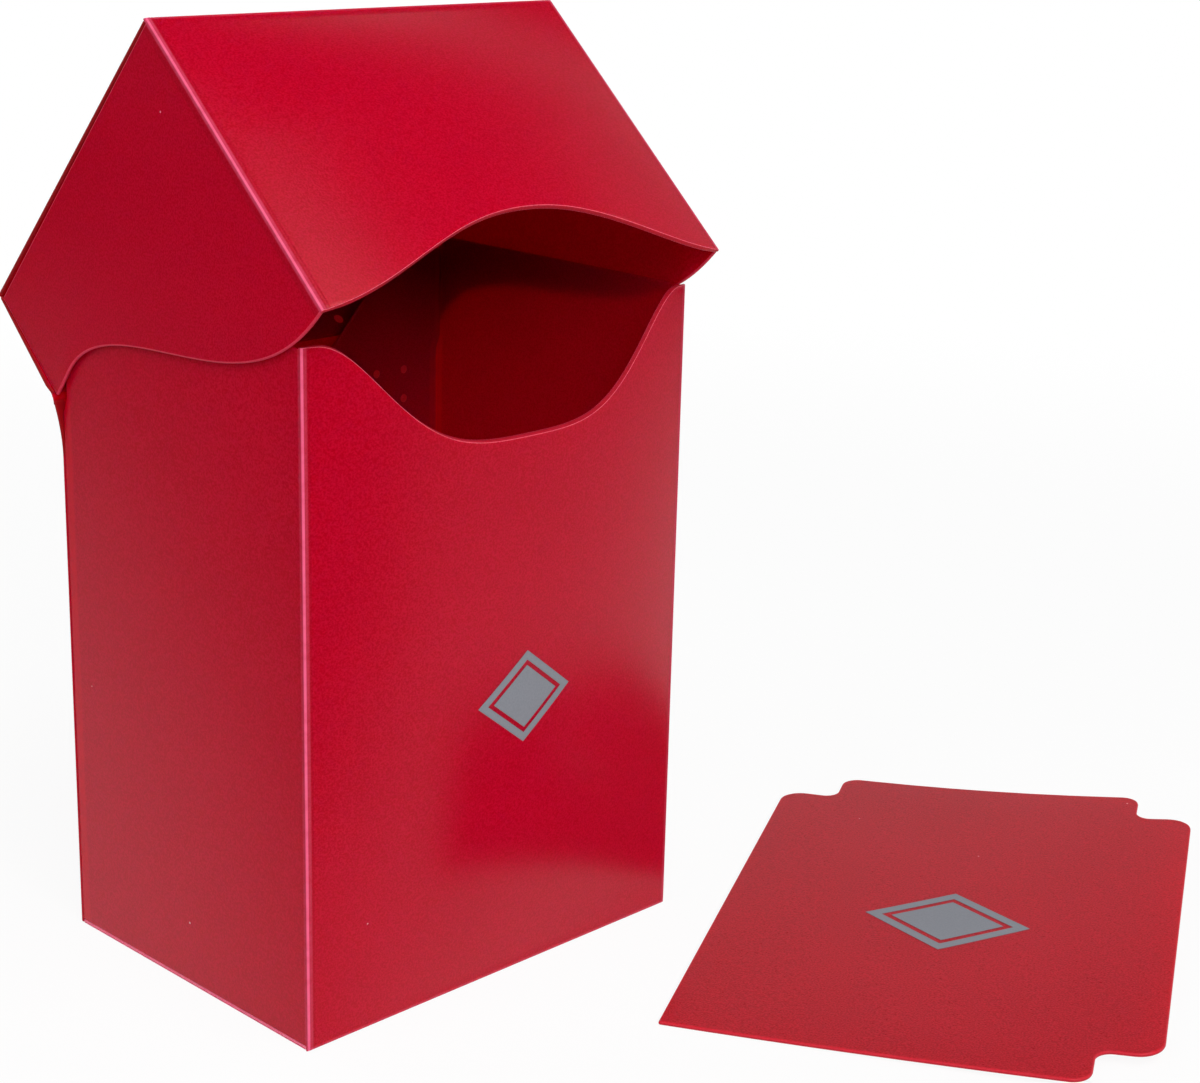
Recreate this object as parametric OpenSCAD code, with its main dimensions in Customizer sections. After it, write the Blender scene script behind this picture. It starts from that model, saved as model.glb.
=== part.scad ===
// Deck box for sleeved cards, folded and spot-welded from thin polypropylene sheet, with a loose card divider.
// Millimetres, +Z up, +X to the right of the front, +Y to the back; origin at the middle of the base.

/* [Sheet] */
// Thickness of the sheet that everything is cut from
sheet = 0.6; // [0.4:0.05:0.8]

/* [Body] */
// Outside width of the body
body_w = 70; // [64:0.5:80]
// Outside depth of the body at its base
body_d = 54.5; // [40:0.5:70]
// Height of the sides and of the front's two corners
body_h = 97; // [92:0.5:105]
// How far the tips of the front's shoulders tuck in, so that the lid can swing past them
front_tuck = 1.2; // [1.2:0.1:2]
// Height of the lowest point of the thumb cut-out
cutout_low = 81.3; // [60:0.1:90]
// Half the width of the thumb cut-out, shoulder to shoulder
cutout_half_w = 33; // [20:0.5:33]

/* [Hinge] */
// Height of the living hinge above the base
hinge_h = 81; // [76:0.5:84]
// Radius of the crease's bead
bead_r = 0.3; // [0.2:0.05:0.35]
// Angle that the lid stands open at, from closed
lid_open = 47.5; // [0:0.5:170]

/* [Lid] */
// Height of the lid's top above the hinge, when closed
lid_rise = 18.5; // [16.5:0.1:22]
// Depth of the lid from hinge to front
lid_d = 56.5; // [56.5:0.1:57]
// Height of the lid's front at its corners
lid_front_h = 47.9; // [30:0.1:55]
// How far the middle of the front's lower edge waves up
lid_wave = 7.9; // [0:0.1:12]
// Gap between the lid's sides and the body's sides
side_gap = 0.3; // [0.2:0.05:0.5]

/* [Bowed fronts] */
// How far the middle of the two fronts bows outwards
front_bow = 5; // [0:0.5:6]
// Height over which the body's bow grows from its base crease
body_bow_run = 60; // [40:5:80]
// Depth over which the lid's bow grows from its top crease
lid_bow_run = 22; // [18:1:24]

/* [Flaps] */
// Width of the flaps welded inside the back
rear_flap_w = 22; // [16:0.5:24]
// How far the rear flaps end below the body's corners
rear_flap_drop = 2; // [1:0.5:10]
// Width of the flaps welded to the bottom and to the lid's top
floor_flap_w = 17; // [13:0.5:24]
// Half the width of the flap that joins the lid's top to its back strip
joining_half_w = 24.4; // [20:0.2:25]

/* [Weld spots] */
// Diameter of a weld spot at its foot
spot_d = 1.6; // [1:0.1:2]
// Height of a weld spot
spot_h = 0.15; // [0.1:0.05:0.2]
// Distance between weld spots across a flap
spot_pitch = 5.6; // [4.5:0.1:6]
// Distance between weld spots along an upright flap
spot_step = 4.7; // [4:0.1:6]

/* [Divider] */
// Width of the divider
divider_w = 68.4; // [60:0.2:68.4]
// Length of the divider with its tabs
divider_l = 96.8; // [80:0.2:96.8]
// Width and depth of a corner notch
divider_notch = [9, 8.8]; // [6:0.2:12]
// Where the middle of the divider lies beside the box
divider_at = [64.4, -60.3]; // [-120:0.1:120]
// Turn of the divider from the box's front
divider_turn = -61; // [-90:0.5:-30]

/* [Hidden] */
half_w = body_w / 2;
half_d = body_d / 2;
inner_half_w = half_w - sheet;
inner_half_d = half_d - sheet;
// Stretch beside a crease that stays straight, so that the next panel seats flat on it
crease_land = 2 * sheet;
// Where the sides and rear flaps end above the hinge, clear of the lid's flaps
flap_clearance = 0.3;
side_cut = half_d - 2 * sheet - flap_clearance;
hinge_land = 0.4;
// How far the back panel and the lid's back strip spread sideways beside the hinge
hinge_spread = 0.8;
hinge_spread_run = 18;
strip_spread = 0.5;
strip_spread_at = 2.6;
lid_half_w = half_w + side_gap + sheet;
lid_inner_half_w = half_w + side_gap;
lid_inner_d = lid_d - sheet;
lid_ceiling = lid_rise - sheet;
bead_clearance = 0.15;
lid_strip_start = bead_r + bead_clearance;
lid_side_rise = 0.2;
lid_side_run = 50;
lid_side_sag = 0.5;
flap_taper = 4;
back_flap_taper = 1.5;
// Slanted top corner of a rear flap, along and up
rear_flap_slant = [12.1, 13.2];
// Height over which the sides and rear flaps step in below the hinge, to stand clear of the lid's back
rear_step_run = 2.2;
flap_end_gap = 2;
spot_edge = 6.9;
spot_taper = 0.6;
foot_relief = 0.1;
// Powers that shape the cut edges: the higher, the flatter the middle
cutout_power = 1.8;
lid_wave_power = 1.08;
lid_side_power = 1.22;
wave_points = 60;
bend_steps = [75, 50, 25, 0];
wall_columns = 32;
wall_rows = 12;
tuck_run = 7;
tuck_power = 1.6;
tuck_rows = 5;
tuck_start = 1 - tuck_run / (body_h - crease_land);
// Shares of the front's height for its rows: even up to the tuck, closer within it
tuck_shares = [for (k = [0:tuck_rows]) tuck_start + (1 - tuck_start) * k / tuck_rows];
row_shares = concat([for (k = [0:wall_rows - 1]) tuck_start * k / wall_rows], tuck_shares);
tab_r = 3;
notch_r = 2.4;
divider_corner_r = 4;
$fn = 48;

sheet_red = "#b4142e";
inner_red = "#8c0c20";
weld_red = "#d0405a";
divider_red = "#ac2031";

// Smooth step from 0 to 1 with level ends
function ease(u) = (1 - cos(180 * min(1, max(0, u)))) / 2;

// Growth of a bow from 0 at its crease to 1 at the end of its run
function bow_growth(from_crease, run) =
  1 - pow(1 - min(1, max(0, from_crease - crease_land) / run), 2);

// Bow across a front, from nothing at the folds to full in the middle
function bow_across(x, flat_half_w) = front_bow * max(0, 1 - pow(x / flat_half_w, 2));

// Setback of the outside of a folded edge, round from the flat to the side
function fold_setback(x, flat_half_w) =
  let (over = max(0, abs(x) - flat_half_w) / sheet) sheet * (1 - sqrt(1 - over * over));

// Places across a front: round the left fold, along the flat, round the right fold
function front_columns(flat_half_w) = concat(
  [for (a = bend_steps) -flat_half_w - sheet * sin(a)],
  [for (i = [1:wall_columns - 1]) flat_half_w * (2 * i / wall_columns - 1)],
  [for (k = [len(bend_steps) - 1:-1:0]) flat_half_w + sheet * sin(bend_steps[k])]
);

// Tuck of the front's shoulders at a height
function tuck_at(z) = front_tuck * pow(max(0, 1 - (body_h - z) / tuck_run), tuck_power);

// Upper edge of the front panel: a wide dip between two shoulders
function front_edge(x) = cutout_low + (body_h - cutout_low) * ease(pow(abs(x) / cutout_half_w, cutout_power));

// Lower edge of the lid's front, as a distance below its top: a wave that rises in the middle
function lid_front_edge(x) =
  lid_front_h - lid_wave * (1 - ease(pow(abs(x) / lid_inner_half_w, lid_wave_power)));

// Lower edge of the lid's sides, as a height above the hinge at a distance from the front
function lid_side_edge(from_front) =
  lid_rise - lid_front_h
  + (lid_front_h - lid_rise + lid_side_rise) * ease(pow(from_front / lid_side_run, lid_side_power));

// Wall of sheet between an outer and an inner grid of points, rows going up and columns to the right
module sheet_wall(outer, inner) {
  columns = len(outer[0]);
  rows = len(outer);
  behind = columns * rows;
  function at(i, j) = j * columns + i;
  function two(a, b, c, d) = [[a, b, c], [a, c, d]];
  cells = [for (j = [0:rows - 2]) for (i = [0:columns - 2]) [at(i, j), at(i, j + 1), at(i + 1, j + 1), at(i + 1, j)]];
  across = [for (i = [0:columns - 2]) i];
  up = [for (j = [0:rows - 2]) j];
  last = columns - 1;
  top = rows - 1;
  faces = concat(
    [for (c = cells) each two(c[0], c[1], c[2], c[3])],
    [for (c = cells) each two(c[3] + behind, c[2] + behind, c[1] + behind, c[0] + behind)],
    [for (i = across) [at(i, 0), at(i + 1, 0), at(i + 1, 0) + behind, at(i, 0) + behind]],
    [for (i = across) [at(i + 1, top), at(i, top), at(i, top) + behind, at(i + 1, top) + behind]],
    [for (j = up) [at(0, j + 1), at(0, j), at(0, j) + behind, at(0, j + 1) + behind]],
    [for (j = up) [at(last, j), at(last, j + 1), at(last, j + 1) + behind, at(last, j) + behind]]
  );
  polyhedron(points = concat([for (row = outer) each row], [for (row = inner) each row]), faces = faces);
}

// Flat panel in the plane of the sides, from an outline of depth and height, one sheet thick outwards from x
module upright_sheet(x, outline) {
  translate([x, 0, 0])
    rotate([90, 0, 90])
      linear_extrude(sheet) polygon(outline);
}

// Tapered flap in a plane: it runs along its crease from start to end and stands out to its width
module flap_outline(width, start, end, taper) {
  polygon([[0, start], [width, start + taper], [width, end - taper], [0, end]]);
}

// One weld spot, a low cone standing on its sheet
module weld_spot() {
  cylinder(d1 = spot_d, d2 = spot_d * spot_taper, h = spot_h);
}

// The same thing on the left and on the right
module both_sides() {
  children();
  mirror([1, 0, 0]) children();
}

// Carries the lid from closed, with the hinge at the origin, to where it stands open
module lid_pose() {
  translate([0, half_d, hinge_h])
    rotate([-lid_open, 0, 0]) children();
}

// Front wall of the body, with its rounded folds, bow and thumb cut-out
module front_panel() {
  columns = front_columns(inner_half_w);
  heights = function(x, j)
    j == 0 ? 0 : crease_land + (front_edge(x) - crease_land) * row_shares[j - 1];
  face_y = function(x, z)
    -half_d + tuck_at(z) - bow_across(x, inner_half_w) * bow_growth(z, body_bow_run);
  levels = [0:len(row_shares)];
  outer = [for (j = levels) [for (x = columns)
    let (z = heights(x, j)) [x, face_y(x, z) + fold_setback(x, inner_half_w), z]]];
  inner = [for (j = levels) [for (x = columns)
    let (z = heights(x, j)) [x, face_y(x, z) + sheet, z]]];
  color(sheet_red) sheet_wall(outer, inner);
}

// Outline of a body side: it follows the tucked front, and is cut back above the hinge
function side_outline() = concat(
  [[-inner_half_d, sheet]],
  [for (share = tuck_shares)
    let (z = crease_land + (body_h - crease_land) * share) [-inner_half_d + tuck_at(z), z]],
  [
    [side_cut - flap_taper / 2, body_h],
    [side_cut, body_h - flap_taper / 2],
    [side_cut, hinge_h],
    [inner_half_d, hinge_h - rear_step_run],
    [inner_half_d, sheet]
  ]
);

module left_side_panel() {
  color(sheet_red) upright_sheet(-half_w, side_outline());
}

module right_side_panel() {
  color(sheet_red) upright_sheet(inner_half_w, side_outline());
}

// Back wall, outside the rear flaps, up to the hinge, where it spreads a little
module back_panel() {
  top = hinge_h - hinge_land;
  right_edge = [[half_w, 0], [half_w, top - hinge_spread_run], [half_w + hinge_spread, top]];
  left_edge = [for (k = [len(right_edge) - 1:-1:0]) [-right_edge[k][0], right_edge[k][1]]];
  color(sheet_red)
    translate([0, half_d, 0])
      rotate([90, 0, 0])
        linear_extrude(sheet) polygon(concat(right_edge, left_edge));
}

// Bottom wall, under the sides and between the front and back creases
module bottom_panel() {
  color(sheet_red)
    translate([-half_w, -inner_half_d, 0])
      cube([body_w, 2 * inner_half_d, sheet]);
}

// Rear flap of a side: welded to the back up to the hinge, where it steps in,
// and standing free above it, with a slanted corner
module right_rear_flap() {
  low = crease_land + flap_end_gap;
  top = body_h - rear_flap_drop;
  step_low = hinge_h - rear_step_run;
  outside = [[inner_half_d, low], [inner_half_d, step_low], [side_cut, hinge_h], [side_cut, top]];
  inside = [for (k = [len(outside) - 1:-1:0]) [outside[k][0] - sheet, outside[k][1]]];
  free_edge = inner_half_w - rear_flap_w;
  outline = [
    [inner_half_w, low], [inner_half_w, top], [free_edge + rear_flap_slant[0], top],
    [free_edge, top - rear_flap_slant[1]], [free_edge, low + flap_taper]
  ];
  color(inner_red)
    intersection() {
      translate([free_edge, 0, 0])
        rotate([90, 0, 90])
          linear_extrude(rear_flap_w) polygon(concat(outside, inside));
      translate([0, half_d, 0])
        rotate([90, 0, 0])
          linear_extrude(body_d) polygon(outline);
    }
}

module left_rear_flap() {
  mirror([1, 0, 0]) right_rear_flap();
}

module right_bottom_flap() {
  reach = inner_half_d - flap_end_gap;
  color(inner_red)
    translate([inner_half_w, 0, sheet])
      mirror([1, 0, 0])
        linear_extrude(sheet) flap_outline(floor_flap_w, -reach, reach, flap_taper);
}

module left_bottom_flap() {
  mirror([1, 0, 0]) right_bottom_flap();
}

// Creased bead on the hinge line, on a foot that runs on from the back wall
module living_hinge() {
  color(weld_red)
    translate([-half_w, half_d, hinge_h])
      union() {
        rotate([0, 90, 0]) cylinder(r = bead_r, h = body_w);
        translate([0, -sheet, -hinge_land]) cube([body_w, sheet, hinge_land - foot_relief]);
      }
}

// Three columns of weld spots up each rear flap
module rear_weld_spots() {
  top_spot = hinge_h - spot_step;
  color(weld_red)
    both_sides()
      for (column = [0:2], z = [top_spot:-spot_step:crease_land + flap_end_gap + flap_taper])
        translate([inner_half_w - spot_edge - column * spot_pitch, inner_half_d - sheet, z])
          rotate([90, 0, 0]) weld_spot();
}

// Two rows of weld spots along each bottom flap
module bottom_weld_spots() {
  reach = inner_half_d - flap_end_gap - flap_taper;
  color(weld_red)
    both_sides()
      for (column = [0, 1], y = [-reach:spot_pitch:reach])
        translate([inner_half_w - spot_edge - column * spot_pitch, y, crease_land]) weld_spot();
}

// Strip between the hinge and the lid's top, spread a little near the hinge and cut in at its lower corners
module lid_back_strip() {
  right_edge = [
    [lid_inner_half_w, lid_strip_start],
    [lid_half_w + strip_spread, strip_spread_at],
    [lid_half_w, lid_ceiling]
  ];
  left_edge = [for (k = [len(right_edge) - 1:-1:0]) [-right_edge[k][0], right_edge[k][1]]];
  color(sheet_red)
    lid_pose()
      rotate([90, 0, 0])
        linear_extrude(sheet) polygon(concat(right_edge, left_edge));
}

module lid_top_panel() {
  color(sheet_red)
    lid_pose()
      translate([-lid_half_w, -lid_inner_d, lid_ceiling])
        cube([2 * lid_half_w, lid_inner_d, sheet]);
}

// Front of the lid, with its rounded folds, bow and waved lower edge
module lid_front_panel() {
  columns = front_columns(lid_inner_half_w);
  depths = function(x, j)
    j > wall_rows ? 0 : lid_front_edge(x) + (crease_land - lid_front_edge(x)) * j / wall_rows;
  face_y = function(x, depth)
    -lid_d - bow_across(x, lid_inner_half_w) * bow_growth(depth, lid_bow_run);
  levels = [0:wall_rows + 1];
  outer = [for (j = levels) [for (x = columns)
    let (s = depths(x, j)) [x, face_y(x, s) + fold_setback(x, lid_inner_half_w), lid_rise - s]]];
  inner = [for (j = levels) [for (x = columns)
    let (s = depths(x, j)) [x, face_y(x, s) + sheet, lid_rise - s]]];
  color(sheet_red) lid_pose() sheet_wall(outer, inner);
}

// Outline of a lid side: an S from the hinge down to the front corner, under a slightly sloping top edge
function lid_side_outline() = concat(
  [for (i = [0:wave_points])
    let (y = -lid_inner_d + (lid_inner_d - sheet) * i / wave_points) [y, lid_side_edge(y + lid_d)]],
  [[-sheet, lid_ceiling - lid_side_sag], [-lid_inner_d, lid_ceiling]]
);

module lid_left_side_panel() {
  color(sheet_red) lid_pose() upright_sheet(-lid_half_w, lid_side_outline());
}

module lid_right_side_panel() {
  color(sheet_red) lid_pose() upright_sheet(lid_inner_half_w, lid_side_outline());
}

module lid_right_top_flap() {
  color(inner_red)
    lid_pose()
      translate([lid_inner_half_w, 0, lid_ceiling - sheet])
        mirror([1, 0, 0])
          linear_extrude(sheet)
            flap_outline(floor_flap_w, -lid_inner_d + flap_end_gap, -crease_land - flap_end_gap, flap_taper);
}

module lid_left_top_flap() {
  mirror([1, 0, 0]) lid_right_top_flap();
}

module lid_right_back_flap() {
  flap_w = lid_inner_half_w - joining_half_w - sheet;
  color(inner_red)
    lid_pose()
      translate([lid_inner_half_w, -sheet, 0])
        rotate([90, 0, 0])
          mirror([1, 0, 0])
            linear_extrude(sheet)
              flap_outline(flap_w, sheet, lid_ceiling - crease_land, back_flap_taper);
}

module lid_left_back_flap() {
  mirror([1, 0, 0]) lid_right_back_flap();
}

// Flap of the lid's top, folded down inside the back strip, with rounded lower corners
module lid_joining_flap() {
  corner_r = flap_taper + 1;
  straight_half_w = joining_half_w - corner_r;
  color(inner_red)
    lid_pose()
      translate([0, -sheet, flap_end_gap])
        rotate([90, 0, 0])
          linear_extrude(sheet)
            union() {
              translate([-straight_half_w, 0]) square([2 * straight_half_w, lid_ceiling - flap_end_gap]);
              translate([-joining_half_w, corner_r])
                square([2 * joining_half_w, lid_ceiling - flap_end_gap - corner_r]);
              for (side = [-1, 1]) translate([side * straight_half_w, corner_r]) circle(corner_r);
            }
}

module lid_top_weld_spots() {
  start = -lid_inner_d + flap_end_gap + flap_taper;
  color(weld_red)
    both_sides()
      lid_pose()
        for (column = [0, 1], y = [start:spot_pitch:-crease_land - flap_end_gap - flap_taper])
          translate([lid_inner_half_w - spot_edge - column * spot_pitch, y, lid_ceiling - sheet])
            rotate([180, 0, 0]) weld_spot();
}

// Weld spots over the joining flap, and up the two back flaps
module lid_back_weld_spots() {
  spot_half_run = joining_half_w - spot_edge;
  spots_across = floor(2 * spot_half_run / spot_pitch);
  rows = [for (k = [1:3]) k * spot_step];
  color(weld_red)
    lid_pose()
      for (z = rows) {
        for (i = [0:spots_across])
          translate([spot_half_run * (2 * i / spots_across - 1), -crease_land, z])
            rotate([90, 0, 0]) weld_spot();
        both_sides()
          translate([lid_inner_half_w - spot_edge, -crease_land, z])
            rotate([90, 0, 0]) weld_spot();
      }
}

// Square corner outside a round of radius r, to be cut from a corner at the origin
module corner_waste(r) {
  difference() {
    translate([-r, -r]) square(2 * r);
    translate([-r, -r]) circle(r);
    translate([-2 * r, -2 * r]) square([r, 3 * r]);
    translate([-2 * r, -2 * r]) square([3 * r, r]);
  }
}

// Notch at a corner that lies at the origin: a step with a filleted inside and rounded outsides
module corner_notch() {
  width = divider_notch[0];
  depth = divider_notch[1];
  difference() {
    translate([-width, -depth]) square([2 * width, 2 * depth]);
    translate([-width, -depth])
      difference() {
        square(notch_r);
        translate([notch_r, notch_r]) circle(notch_r);
      }
  }
  translate([-width, 0]) corner_waste(tab_r);
  translate([0, -depth]) corner_waste(divider_corner_r);
}

// Loose divider, a flat sheet with notches at both far corners and at the near right corner
module card_divider() {
  color(divider_red)
    translate([divider_at[0], divider_at[1], 0])
      rotate([0, 0, divider_turn])
        linear_extrude(sheet)
          difference() {
            square([divider_w, divider_l], center = true);
            translate([divider_w / 2, divider_l / 2]) corner_notch();
            translate([-divider_w / 2, divider_l / 2]) mirror([1, 0]) corner_notch();
            translate([divider_w / 2, -divider_l / 2]) mirror([0, 1]) corner_notch();
          }
}

front_panel();
left_side_panel();
right_side_panel();
back_panel();
bottom_panel();
left_rear_flap();
right_rear_flap();
left_bottom_flap();
right_bottom_flap();
living_hinge();
rear_weld_spots();
bottom_weld_spots();
lid_back_strip();
lid_top_panel();
lid_front_panel();
lid_left_side_panel();
lid_right_side_panel();
lid_left_top_flap();
lid_right_top_flap();
lid_left_back_flap();
lid_right_back_flap();
lid_joining_flap();
lid_top_weld_spots();
lid_back_weld_spots();
card_divider();
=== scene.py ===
import math

import bpy
from mathutils import Euler, Matrix, Vector


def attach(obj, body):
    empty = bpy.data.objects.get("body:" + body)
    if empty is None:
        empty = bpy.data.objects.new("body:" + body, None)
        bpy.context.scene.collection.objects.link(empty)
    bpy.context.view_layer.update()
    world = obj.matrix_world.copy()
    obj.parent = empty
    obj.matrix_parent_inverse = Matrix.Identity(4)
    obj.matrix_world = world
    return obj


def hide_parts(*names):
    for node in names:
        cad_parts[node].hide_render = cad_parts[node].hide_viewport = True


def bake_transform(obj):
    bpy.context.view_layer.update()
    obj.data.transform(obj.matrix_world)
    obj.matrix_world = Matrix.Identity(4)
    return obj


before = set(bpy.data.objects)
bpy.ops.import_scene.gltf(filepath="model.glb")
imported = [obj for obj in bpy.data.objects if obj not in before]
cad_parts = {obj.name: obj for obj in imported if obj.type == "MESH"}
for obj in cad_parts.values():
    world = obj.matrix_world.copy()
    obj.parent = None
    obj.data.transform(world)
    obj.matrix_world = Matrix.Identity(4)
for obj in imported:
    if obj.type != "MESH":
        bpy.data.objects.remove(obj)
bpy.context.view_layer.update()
bpy.ops.object.select_all(action="DESELECT")

# The sheet: every piece is die-cut from one satin polypropylene sheet, dyed red right through.
# Its rollers leave a fine grain, some red light passes through it, it goes pale where it is creased,
# and a few specks of dust lie on it.
MM = 0.001
SHEET = 0.6 * MM
RED = (0.56, 0.0038, 0.028, 1)
DEEP_RED = (0.445, 0.0002, 0.013, 1)
TONE_CONTRAST = (0.34, 0.66)
SHEET_ROUGHNESS = 0.21
ROUGHNESS_SPREAD = 0.06
SHEET_IOR = 1.49
SHEET_SHINE = 0.16
GLOW_RADIUS = (1.0, 0.06, 0.1)
GLOW_REACH = 2.0 * MM
GRAINS_PER_M = 3700
GRAIN_DETAIL = 2.0
GRAIN_DEPTH = 0.05 * MM
GRAIN_STRENGTH = 0.5
CLOUDS_PER_M = 34
CLOUD_DETAIL = 3.0
CLOUD_SHARE = 0.12
DUST_GREY = (0.75, 0.42, 0.45, 1)
DUST_PER_M = 120
DUST_SIZE = 0.022
DUST_RARITY = 0.55
CREASE_CORE = (0.27 * MM, 0.12 * MM)
CREASE_BAND = (0.8 * MM, 0.5 * MM)
CREASE_WEAR_PER_M = 700
CREASE_WEAR_DETAIL = 3.0
CREASE_WEAR = (0.25, 0.6)
CORE_WEAR = 0.2
BAND_WEAR = 0.4
HINGE = Vector((0, 27.25 * MM, 81 * MM))
LID_OPEN = math.radians(47.5)


def new_group(name, inputs, outputs):
    """An empty shader group. inputs are (label, socket type, value), outputs are the labels of numbers."""
    group = bpy.data.node_groups.new(name, "ShaderNodeTree")
    for label, kind, value in inputs:
        socket = group.interface.new_socket(label, in_out="INPUT", socket_type=kind)
        if value is not None:
            socket.default_value = value
    for label in outputs:
        group.interface.new_socket(label, in_out="OUTPUT", socket_type="NodeSocketFloat")
    return group, group.nodes.new("NodeGroupInput"), group.nodes.new("NodeGroupOutput")


def math_node(tree, operation, first, second=None):
    """A sum on numbers or on the sockets that give them."""
    made = tree.nodes.new("ShaderNodeMath")
    made.operation = operation
    for socket, value in zip(made.inputs, (first, second)):
        if isinstance(value, (int, float)):
            socket.default_value = value
        elif value is not None:
            tree.links.new(value, socket)
    return made.outputs[0]


def vector_node(tree, operation, first, second=None):
    """A sum on places, given as tuples or as sockets."""
    made = tree.nodes.new("ShaderNodeVectorMath")
    made.operation = operation
    for socket, value in zip(made.inputs, (first, second)):
        if isinstance(value, tuple):
            socket.default_value = value
        elif value is not None:
            tree.links.new(value, socket)
    gives_place = operation in ("SUBTRACT", "MULTIPLY")
    return made.outputs["Vector" if gives_place else "Value"]


def ramp_between(tree, value, start, end):
    """A smooth rise from 0 at start to 1 at end."""
    made = tree.nodes.new("ShaderNodeMapRange")
    made.interpolation_type = "SMOOTHSTEP"
    tree.links.new(value, made.inputs["Value"])
    made.inputs["From Min"].default_value = start
    made.inputs["From Max"].default_value = end
    return made.outputs["Result"]


def noise(tree, place, scale, detail):
    """Soft noise from 0 to 1, with scale lumps to the metre."""
    made = tree.nodes.new("ShaderNodeTexNoise")
    made.inputs["Scale"].default_value = scale
    made.inputs["Detail"].default_value = detail
    tree.links.new(place, made.inputs["Vector"])
    return made.outputs["Fac"]


def make_grain_group():
    """The rolled grain, the sheet's uneven tone and its specks of dust."""
    group, put_in, put_out = new_group(
        "sheet grain", [("Vector", "NodeSocketVector", None)], ["Height", "Tone", "Dust"])
    place = put_in.outputs["Vector"]
    fine = noise(group, place, GRAINS_PER_M, GRAIN_DETAIL)
    cloudy = noise(group, place, CLOUDS_PER_M, CLOUD_DETAIL)
    specks = group.nodes.new("ShaderNodeTexVoronoi")
    specks.inputs["Scale"].default_value = DUST_PER_M
    group.links.new(place, specks.inputs["Vector"])
    chosen = group.nodes.new("ShaderNodeSeparateColor")
    group.links.new(specks.outputs["Color"], chosen.inputs["Color"])
    size = math_node(group, "MULTIPLY", chosen.outputs["Green"], DUST_SIZE)
    near = math_node(group, "LESS_THAN", specks.outputs["Distance"], size)
    kept = math_node(group, "GREATER_THAN", chosen.outputs["Red"], DUST_RARITY)
    cloud_part = math_node(group, "MULTIPLY", cloudy, CLOUD_SHARE)
    fine_part = math_node(group, "MULTIPLY", fine, 1 - CLOUD_SHARE)
    group.links.new(fine, put_out.inputs["Height"])
    group.links.new(math_node(group, "ADD", cloud_part, fine_part), put_out.inputs["Tone"])
    group.links.new(math_node(group, "MULTIPLY", near, kept), put_out.inputs["Dust"])
    return group


def worn(tree, mask, unbroken, share):
    """The mask of a crease, with a share of it lost where the whitening is broken."""
    kept = math_node(tree, "ADD", math_node(tree, "MULTIPLY", unbroken, share), 1 - share)
    return math_node(tree, "MULTIPLY", mask, kept)


def make_crease_group():
    """Stress whitening: a pale core and a weaker band along the line through the apex."""
    sockets = [
        ("Vector", "NodeSocketVector", None),
        ("Apex", "NodeSocketVector", (0, 0, 0)),
        ("Across", "NodeSocketVector", (1, 1, 0)),
        ("Width", "NodeSocketFloat", 1.0),
        ("Band", "NodeSocketFloat", 0.2),
    ]
    group, put_in, put_out = new_group("crease whitening", sockets, ["Mask"])
    place = put_in.outputs["Vector"]
    offset = vector_node(group, "SUBTRACT", place, put_in.outputs["Apex"])
    gap = vector_node(group, "LENGTH", vector_node(group, "MULTIPLY", offset, put_in.outputs["Across"]))
    reach = math_node(group, "DIVIDE", gap, put_in.outputs["Width"])
    wear = noise(group, place, CREASE_WEAR_PER_M, CREASE_WEAR_DETAIL)
    unbroken = ramp_between(group, wear, *CREASE_WEAR)
    core = worn(group, ramp_between(group, reach, *CREASE_CORE), unbroken, CORE_WEAR)
    band = worn(group, ramp_between(group, reach, *CREASE_BAND), unbroken, BAND_WEAR)
    band = math_node(group, "MULTIPLY", band, put_in.outputs["Band"])
    group.links.new(math_node(group, "MAXIMUM", core, band), put_out.inputs["Mask"])
    return group


GRAIN = make_grain_group()
CREASE = make_crease_group()


def mix_colour(tree, mask, first, second):
    """The first colour where the mask is 0 and the second where it is 1."""
    made = tree.nodes.new("ShaderNodeMix")
    made.data_type = "RGBA"
    tree.links.new(mask, made.inputs["Factor"])
    colour_sockets = [socket for socket in made.inputs if socket.type == "RGBA"]
    for socket, value in zip(colour_sockets, (first, second)):
        if isinstance(value, tuple):
            socket.default_value = value
        else:
            tree.links.new(value, socket)
    return [socket for socket in made.outputs if socket.type == "RGBA"][0]


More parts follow.
